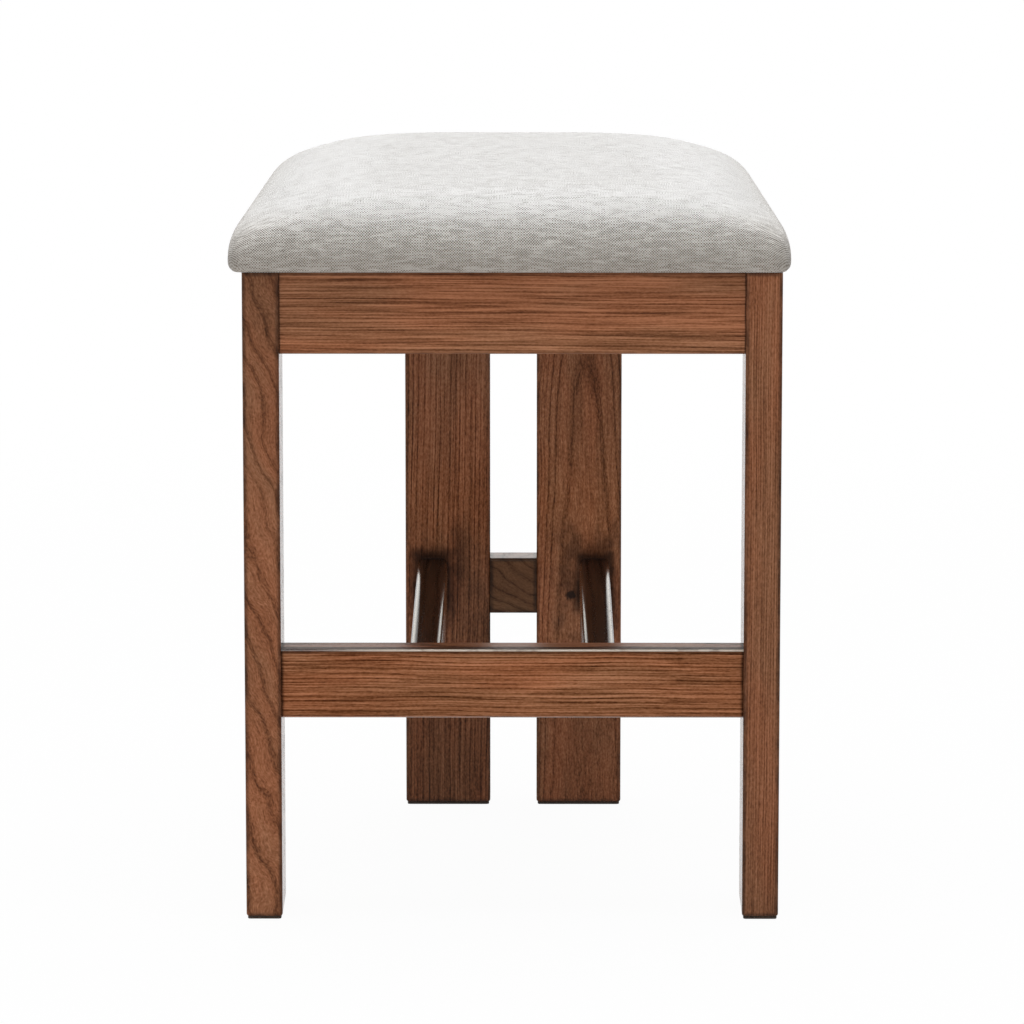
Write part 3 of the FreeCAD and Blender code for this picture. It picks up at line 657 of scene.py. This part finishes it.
def seatGauge(spots):  # 1 on the crowned form, less inside it and more outside
    mid, top, inset = cushion["widestHeight"], cushion["top"] - cushion["startTop"], cushion["startInset"]
    rise = np.clip((spots[:, 2] - mid) / (top - mid), 0.0, math.sin(math.pi / 2 * cushion["crownReach"]))
    left = 1 - rise ** cushion["crownPower"]
    along = spots[:, 1] / (cushion["depth"] / 2 - inset) / left ** (1 / cushion["frontPower"])
    halfFront, halfBack = cushion["frontWidth"] / 2 - inset, cushion["backWidth"] / 2 - inset
    halfWidth = halfFront + (halfBack - halfFront) * (np.clip(along, -1.0, 1.0) + 1) / 2
    across = spots[:, 0] / halfWidth / left ** (1 / cushion["sidePower"])
    share = (np.where(along < 0, cushion["frontCorner"], cushion["backCorner"]) - inset) / halfBack
    share = share + (cushion["crownCorner"] - share) * rise ** cushion["cornerGrowth"]
    power = math.log(2) / -np.log(1 - squareCorner * share)
    return (np.abs(across) ** power + np.abs(along) ** power) ** (1 / power)


def settleCushion(piece):  # the even mesh is laid smoothly on the form again, with a slight dome on its cap
    spots = cornersOf(piece)
    mid, top = cushion["widestHeight"], cushion["top"] - cushion["startTop"]
    capHeight = mid + (top - mid) * math.sin(math.pi / 2 * cushion["crownReach"])
    upper = np.where(spots[:, 2] > mid + 0.001)[0]
    moving = spots[upper]
    onCap = seatGauge(np.column_stack((moving[:, :2], np.full(len(moving), capHeight))))
    capped = onCap < 1
    nudges = np.eye(3) * cushion["nudge"]
    for turn in range(cushion["settlings"]):
        slope = np.column_stack([seatGauge(moving + step) - seatGauge(moving - step) for step in nudges])
        slope /= 2 * cushion["nudge"]
        steep = np.maximum((slope ** 2).sum(axis=1, keepdims=True), 1e-6)
        push = (seatGauge(moving) - 1)[:, None] * slope / steep
        far = np.linalg.norm(push, axis=1, keepdims=True)
        moving = moving - push * np.minimum(1.0, cushion["mostSettling"] / np.maximum(far, 1e-9))
        moving[:, 2] = np.minimum(moving[:, 2], capHeight)
    moving[capped] = spots[upper][capped]
    moving[capped, 2] = capHeight + cushion["dome"] * (1 - onCap[capped] ** 2) ** 2
    spots[upper] = moving
    setCorners(piece, spots)


def swellCushion(piece):
    start, flat = cornersOf(piece), piece.data.copy()
    held = piece.vertex_groups.new(name="stapledUnder")
    held.add([int(i) for i in np.where(start[:, 2] < cushion["heldBelow"])[0]], 1.0, "REPLACE")
    cloth = piece.modifiers.new("swell", "CLOTH")
    cloth.settings.use_pressure = True
    cloth.settings.uniform_pressure_force = cushion["pressure"]
    cloth.settings.effector_weights.gravity = 0.0
    cloth.settings.bending_stiffness = cushion["stiffness"]
    cloth.settings.vertex_group_mass = held.name
    for step in range(1, cushion["frames"] + 1):
        scene.frame_set(step)
    applyModifiers(piece)
    scene.frame_set(1)
    moved = cornersOf(piece) - start
    out = np.zeros(start.size)
    flat.vertex_normals.foreach_get("vector", out)
    out = out.reshape(-1, 3)
    moved = out * np.maximum((moved * out).sum(axis=1, keepdims=True), 0.0)  # outwards only
    # foam under the cloth evens out the small creases, so only the broad swell is kept
    ends = np.array([edge.vertices[:] for edge in piece.data.edges])
    loose = (start[:, 2] >= cushion["heldBelow"])[:, None]
    shares = np.bincount(ends.ravel(), minlength=len(start))[:, None]
    for turn in range(cushion["evenings"]):
        around = np.zeros_like(moved)
        for axis in range(3):
            around[:, axis] = np.bincount(ends[:, 0], moved[ends[:, 1], axis], len(start))
            around[:, axis] += np.bincount(ends[:, 1], moved[ends[:, 0], axis], len(start))
        moved = np.where(loose, (moved + around / shares) / 2, 0.0)
    far = np.linalg.norm(moved, axis=1, keepdims=True)
    moved *= np.minimum(1.0, cushion["mostSwell"] / np.maximum(far, 1e-9))
    setCorners(piece, start + moved)
    print("cushion swelled by up to", round(float(np.linalg.norm(moved, axis=1).max()) * 1000, 2), "mm")


def layCloth(piece):  # how far each point lies from the crown along the cloth, kept as an attribute
    sections = seatSections()
    heights, spare, run = [], [], 0.0
    rows = [(0.0, cushion["top"])] + [((cushion["depth"] / 2 - inset) * shrinkAlong, height)
                                      for inset, height, across, shrinkAlong, rise in reversed(sections)]
    for (near, above), (far, below) in zip(rows, rows[1:]):
        run += math.hypot(far - near, above - below)
        heights.append(below)
        spare.append(run - far)
    spots = cornersOf(piece)
    normals = np.zeros(len(spots) * 3)
    piece.data.vertex_normals.foreach_get("vector", normals)
    normals = normals.reshape(-1, 3)
    extra = np.interp(spots[:, 2], heights[::-1], spare[::-1])
    flat = normals[:, :2] ** 2
    lean = flat / np.maximum(flat.sum(axis=1, keepdims=True), 1e-6)
    laid = np.zeros((len(spots), 3))
    laid[:, :2] = spots[:, :2] + np.sign(spots[:, :2]) * lean * extra[:, None]
    laid[:, 2] = spots[:, 2]
    kept = piece.data.attributes.new("clothRun", "FLOAT_VECTOR", "POINT")
    kept.data.foreach_set("vector", laid.ravel())


linen = {
    "yarn": 0.00118, "pale": tint(236, 235, 233), "mid": tint(202, 200, 196), "dark": tint(122, 113, 103),
    "fleck": tint(104, 98, 87), "lowShade": tint(132, 120, 108), "roughness": 0.88, "sheen": 0.18,
    "slopeContrast": 2.2, "crownContrast": 0.48, "bow": 0.0024, "paintedWarmth": (1.01, 0.985, 0.95, 1.0),
    "slubRun": 0.085, "warpRun": 0.045, "yarnStep": 7.37, "specular": 0.2, "sheenBlur": 0.4,
    # heights between which the cloth changes: pressed at the edge, painted shade low down, open on the
    # slopes, a painted warm tint low down, painted shade on the crown
    "edgeBand": (0.580, 0.588), "lowShadeBand": (0.578, 0.614), "slopeBand": (0.604, 0.632),
    "paintedWarmthBand": (0.604, 0.638), "crownBand": (0.644, 0.6475), "slopeTone": 0.385, "crownShadeTone": 0.45,
}


def yarnTone(mat, across, along):  # a tone of its own for each yarn, which changes along it
    spot = addNode(mat, "CombineXYZ", {0: across, 1: along}).outputs[0]
    mottle = addNode(mat, "TexNoise", {"Vector": spot, "Scale": 1.0, "Detail": 2.0}, noise_dimensions="2D")
    return mottle.outputs[0]


def linenCloth():  # plain weave, with thick and thin yarns
    mat = newMaterial("linenCloth")
    place = addNode(mat, "TexCoord").outputs["Object"]
    lower = addNode(mat, "SeparateXYZ", {0: place}).outputs[2]
    laid = addNode(mat, "Attribute", attribute_name="clothRun").outputs["Vector"]
    bowed = vectorCalc(mat, "ADD", laid, sway(mat, laid, (45.0, 45.0, 0.0), linen["bow"]))
    yarns = vectorCalc(mat, "MULTIPLY", bowed, (1 / linen["yarn"], 1 / linen["yarn"], 0.0))
    across, along = addNode(mat, "SeparateXYZ", {0: yarns}).outputs[:2]
    crossings = [calc(mat, "SINE", calc(mat, "MULTIPLY", way, math.pi)) for way in (across, along)]
    weave = calc(mat, "MULTIPLY", *crossings)  # above 0 where the warp is on top
    weftNumber, warpNumber = [calc(mat, "MULTIPLY", calc(mat, "FLOOR", way), linen["yarnStep"])
                              for way in (along, across)]
    slub = yarnTone(mat, calc(mat, "MULTIPLY", across, linen["slubRun"]), weftNumber)
    warpTone = yarnTone(mat, warpNumber, calc(mat, "MULTIPLY", along, linen["warpRun"]))
    cloud = noise(mat, place, (22.0, 22.0, 22.0), 3.0).outputs[0]
    # the weave is more open in patches and along some yarns, and pressed flat at the turned-in edge
    loose = fade(mat, noise(mat, laid, (70.0, 150.0, 70.0), 2.0).outputs[0], 0.34, 0.62, 0.70, 1.0)
    loose = calc(mat, "MULTIPLY", loose, fade(mat, slub, 0.40, 0.66, 0.55, 2.1))
    pressed = fade(mat, lower, *linen["edgeBand"], 0.25, 1.0)
    pits = calc(mat, "MULTIPLY", calc(mat, "MULTIPLY", weave, loose), pressed)
    parts = ((slub, 0.5, 0.62), (warpTone, 0.5, 0.24), (pits, 0.0, -0.90), (cloud, 0.5, 0.08))
    vary = weighed(mat, 0.0, parts)
    strength = fade(mat, lower, *linen["slopeBand"], linen["slopeContrast"], linen["crownContrast"])
    # painted shade: the crown's cloth is set a little darker than the slopes
    middle = fade(mat, lower, *linen["crownBand"], linen["slopeTone"], linen["crownShadeTone"])
    tone = calc(mat, "ADD", calc(mat, "MULTIPLY", vary, strength), middle)
    colour = ramp(mat, tone, ((0.0, linen["pale"]), (0.45, linen["mid"]), (1.0, linen["dark"])))
    speck = fade(mat, noise(mat, laid, (330.0, 620.0, 330.0), 1.0).outputs[0], 0.68, 0.76, 0.0, 0.6)
    colour = mixColour(mat, speck, colour, linen["fleck"])
    lowShadeShare = fade(mat, lower, *linen["lowShadeBand"], 0.46, 0.0)  # painted shade: greyer towards the lower edge
    colour = mixColour(mat, lowShadeShare, colour, linen["lowShade"])
    # painted light: a warm tint low down, fading out towards the crown
    paintedWarmthTint = mixColour(mat, fade(mat, lower, *linen["paintedWarmthBand"]), linen["paintedWarmth"], grey(1.0))
    colour = mixColour(mat, 1.0, colour, paintedWarmthTint, "MULTIPLY")
    settings = {"Base Color": colour, "Roughness": linen["roughness"], "Sheen Weight": linen["sheen"],
                "Sheen Roughness": linen["sheenBlur"], "Specular IOR Level": linen["specular"]}
    return finishMaterial(mat, settings, pits, 0.00035, 0.6)


seatCushion = makeCushion()
settleCushion(seatCushion)
swellCushion(seatCushion)
seatCushion.location.x = cushion["shift"]  # the cover sits a touch to the left
bakePlace(seatCushion)
finer = seatCushion.modifiers.new("finer", "SUBSURF")
finer.levels = finer.render_levels = 1
applyModifiers(seatCushion)
bpy.ops.object.shade_smooth()
layCloth(seatCushion)
seatCushion.data.materials.append(linenCloth())
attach(seatCushion, "root")
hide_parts("seat_cover", "seat_foam", "seat_wadding")
print("cushion is upholstered:", len(seatCushion.data.polygons), "faces")


# dust sheet: one stretched cloth under the seat board, sagging a little inside the frame

dustSheet = {
    "inset": 0.014, "flat": (0.464, 0.472), "cells": 64, "thick": 0.0008, "sag": 0.0026, "ripple": 0.22,
    "openWidth": 0.178, "openDepth": 0.198,
    "bolts": ((-0.185, -0.1915), (0.185, -0.1915), (-0.171, 0.1915), (0.171, 0.1915)), "boltHole": 0.0042,
    "top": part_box("dust_cover")[1].z,
}


def makeDustSheet():
    pickNone()
    cells = dustSheet["cells"]
    bpy.ops.mesh.primitive_grid_add(x_subdivisions=cells, y_subdivisions=cells, size=2.0)
    piece = bpy.context.object
    piece.name = "dust_sheet"
    spots = cornersOf(piece)
    for spot in spots:
        along, angle = max(abs(spot[0]), abs(spot[1])), math.atan2(spot[1], spot[0])
        spot[0], spot[1] = seatSpot(angle, dustSheet["inset"], along, along, 0.0)
    setCorners(piece, spots)
    cutArea = sum(face.area for face in piece.data.polygons)
    across, along = spots[:, 0] / dustSheet["openWidth"], spots[:, 1] / dustSheet["openDepth"]
    hollow = np.maximum(1 - np.abs(across) ** 3 - np.abs(along) ** 3, 0.0)
    waves = np.sin(spots[:, 0] * 47 + 1.3 * np.sin(spots[:, 1] * 19)) * np.sin(spots[:, 1] * 31)
    spots[:, 2] = dustSheet["top"] - dustSheet["sag"] * hollow * (1 + dustSheet["ripple"] * waves)
    setCorners(piece, spots)
    solid = piece.modifiers.new("thickness", "SOLIDIFY")
    solid.thickness, solid.offset = dustSheet["thick"], -1.0
    applyModifiers(piece)
    for x, y in dustSheet["bolts"]:
        pickNone()
        bpy.ops.mesh.primitive_cylinder_add(vertices=32, radius=dustSheet["boltHole"], depth=0.02,
                                            location=(x, y, dustSheet["top"]))
        punch = bpy.context.object
        hole = piece.modifiers.new("boltHole", "BOOLEAN")
        hole.object, hole.operation, hole.solver = punch, "DIFFERENCE", "EXACT"
        applyModifiers(piece)
        bpy.data.objects.remove(punch)
    pick(piece)
    bpy.ops.object.shade_smooth_by_angle(angle=math.radians(50))
    return piece, cutArea


def dustCloth():  # black non-woven: matted fibres and a grid of tiny welded dots
    mat = newMaterial("dustCloth")
    place = addNode(mat, "TexCoord").outputs["Object"]
    fibres = noise(mat, place, (900.0, 260.0, 400.0), 4.0, 0.7).outputs[0]
    strands = noise(mat, place, (240.0, 1100.0, 400.0), 4.0, 0.7).outputs[0]
    matted = calc(mat, "MAXIMUM", fibres, strands)
    cell = vectorCalc(mat, "FRACTION", vectorCalc(mat, "MULTIPLY", place, (480.0, 480.0, 0.0)))
    dot = lengthOf(mat, vectorCalc(mat, "SUBTRACT", cell, (0.5, 0.5, 0.0)))
    dot = fade(mat, dot, 0.20, 0.30, 1.0, 0.0)
    colour = ramp(mat, matted, ((0.35, tint(20, 20, 21)), (0.55, tint(38, 38, 40)), (0.75, tint(64, 64, 66))))
    colour = mixColour(mat, calc(mat, "MULTIPLY", dot, 0.6), colour, tint(18, 18, 19))
    height = calc(mat, "SUBTRACT", matted, calc(mat, "MULTIPLY", dot, 0.8))
    rough = fade(mat, dot, 0.0, 1.0, 0.9, 0.62)
    settings = {"Base Color": colour, "Roughness": rough, "Sheen Weight": 0.1}
    return finishMaterial(mat, settings, height, 0.0002, 0.6)


underSheet, dustArea = makeDustSheet()
underSheet.data.materials.append(dustCloth())
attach(underSheet, "root")
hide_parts("dust_cover")
print("dust sheet is stretched: flat area", round(dustArea, 4), "square metres")


# felt pads: one is modelled and copied under each leg

footPad = {"nodes": ("front_foot_pad_left", "front_foot_pad_right", "rear_foot_pad_left",
                     "rear_foot_pad_right"), "corner": 0.0025, "edge": 0.0006}


def makePad():
    low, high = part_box(footPad["nodes"][0])
    pickNone()
    bpy.ops.mesh.primitive_cube_add(size=1.0, location=(0.0, 0.0, 0.0))
    piece = bpy.context.object
    piece.scale = high - low
    bakePlace(piece)
    bpy.ops.object.mode_set(mode="EDIT")
    bpy.ops.mesh.select_mode(type="EDGE")
    bpy.ops.mesh.select_all(action="DESELECT")
    bpy.ops.object.mode_set(mode="OBJECT")
    for edge in piece.data.edges:
        ends = [piece.data.vertices[i].co for i in edge.vertices]
        edge.select = abs(ends[0].z - ends[1].z) > 0.001
    bpy.ops.object.mode_set(mode="EDIT")
    bpy.ops.mesh.bevel(offset=footPad["corner"], segments=5)
    bpy.ops.object.mode_set(mode="OBJECT")
    rim = piece.modifiers.new("cutEdge", "BEVEL")
    rim.width, rim.segments, rim.limit_method, rim.angle_limit = footPad["edge"], 3, "ANGLE", math.radians(60)
    applyModifiers(piece)
    bpy.ops.object.shade_smooth_by_angle(angle=math.radians(40))
    return piece


def pressedFelt():
    mat = newMaterial("pressedFelt")
    place = addNode(mat, "TexCoord").outputs["Object"]
    hairs = noise(mat, place, (1400.0, 1400.0, 500.0), 5.0, 0.75).outputs[0]
    tufts = noise(mat, place, (260.0, 260.0, 260.0), 3.0).outputs[0]
    fluff = calc(mat, "ADD", calc(mat, "MULTIPLY", hairs, 0.65), calc(mat, "MULTIPLY", tufts, 0.35))
    colour = ramp(mat, fluff, ((0.3, tint(34, 26, 21)), (0.5, tint(58, 47, 39)), (0.72, tint(92, 79, 68))))
    settings = {"Base Color": colour, "Roughness": 0.95, "Sheen Weight": 0.3}
    return finishMaterial(mat, settings, fluff, 0.0006, 0.8)


firstPad = makePad()
firstPad.data.materials.append(pressedFelt())
for node in footPad["nodes"]:
    low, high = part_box(node)
    pad = firstPad.copy()
    pad.data = firstPad.data.copy()
    pad.name = node.replace("_foot_pad", "_felt_pad")
    scene.collection.objects.link(pad)
    pad.location = (low + high) / 2
    pad.rotation_euler.z = math.pi / 2 if high.x - low.x > high.y - low.y else 0.0
    bakePlace(pad)
    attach(pad, "root")
    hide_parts(node)
bpy.data.objects.remove(firstPad)
print("felt pads are set:", len(footPad["nodes"]))
